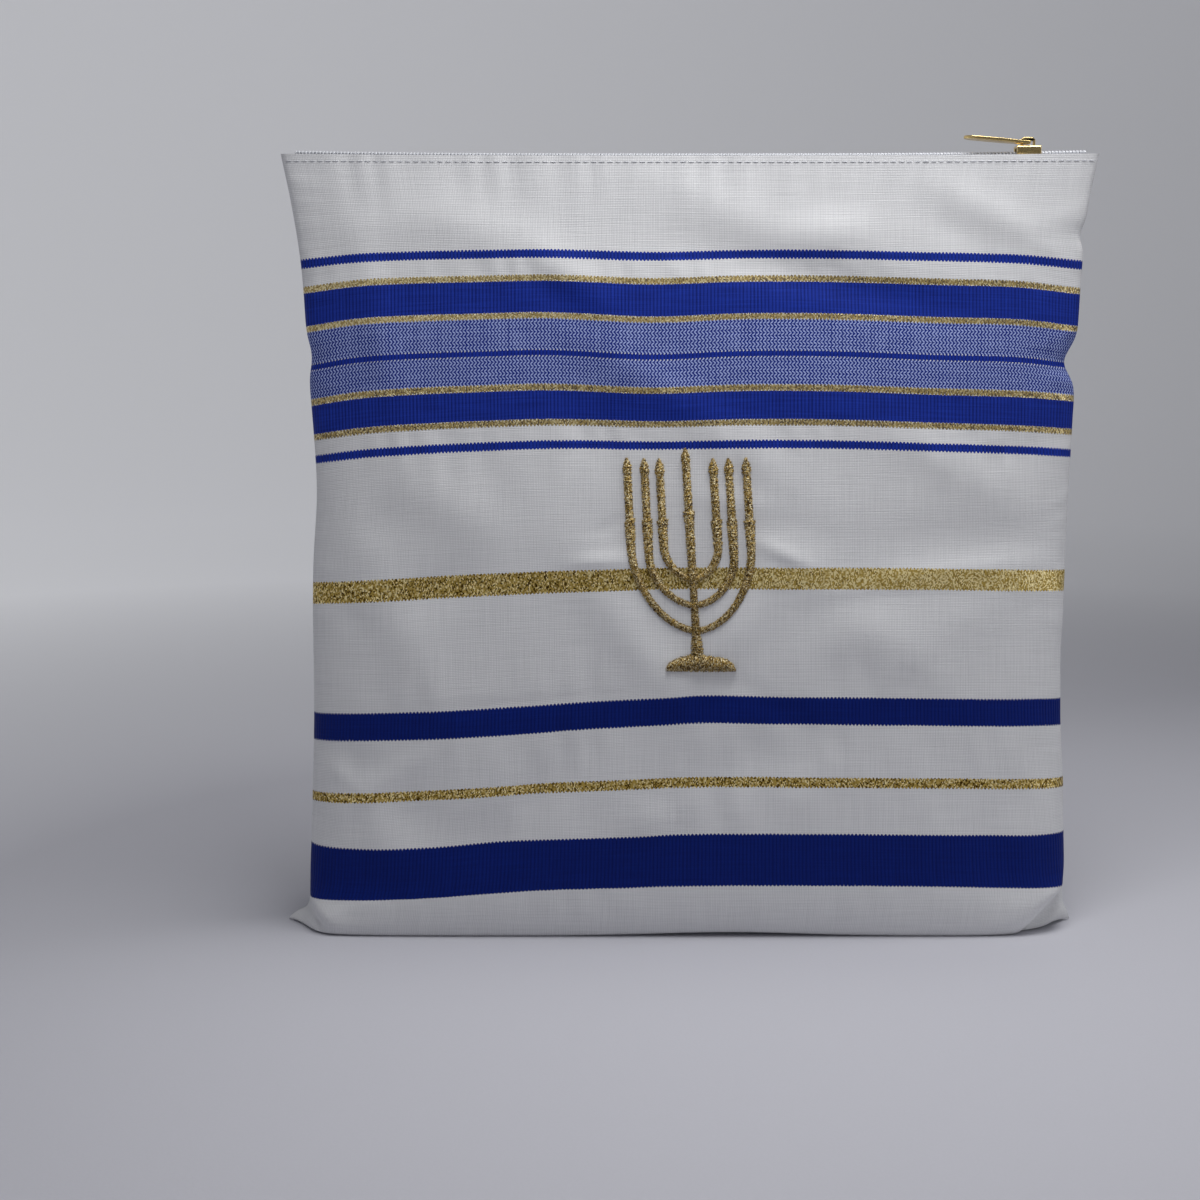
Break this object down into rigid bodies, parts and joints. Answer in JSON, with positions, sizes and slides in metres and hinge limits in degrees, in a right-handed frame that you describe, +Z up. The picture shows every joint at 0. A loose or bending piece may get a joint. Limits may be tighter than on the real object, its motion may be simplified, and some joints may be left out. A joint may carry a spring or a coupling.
{
  "type": "tallit bag",
  "caption": "Filled-out cloth pouch standing on its base, with woven blue and gold stripes, a raised lampstand embroidery and a zip along its top.",
  "frame": {"origin": "middle of the bag's box on the surface that it stands on", "axes": "+X to the right as the front is seen, -Y out of the embroidered front, +Z up to the zip"},
  "size_m": [0.3097, 0.0526, 0.3034],
  "materials": {
    "striped_cloth": "white plain weave with woven royal blue, mixed light blue and gold lurex stripes",
    "gold_thread": "metallic gold machine embroidery, satin stitch",
    "zip_tape": "white woven polyester tape",
    "zip_metal": "polished gold-tone plating"
  },
  "bodies": {
    "bag": {"front_panel": "striped_cloth", "back_panel": "striped_cloth", "menorah_embroidery": "gold_thread", "zip_tape_front": "zip_tape", "zip_tape_back": "zip_tape", "zip_slider": "zip_metal"},
    "pull": {"zip_pull_tab": "zip_metal"}
  },
  "joints": [
    {"name": "pull_tab_hinge", "type": "hinge", "parent": "bag", "child": "pull", "pos_m": [0.12785, 0, 0.30073], "axis": [0, 1, 0], "range_deg": [0, 165]}
  ]
}
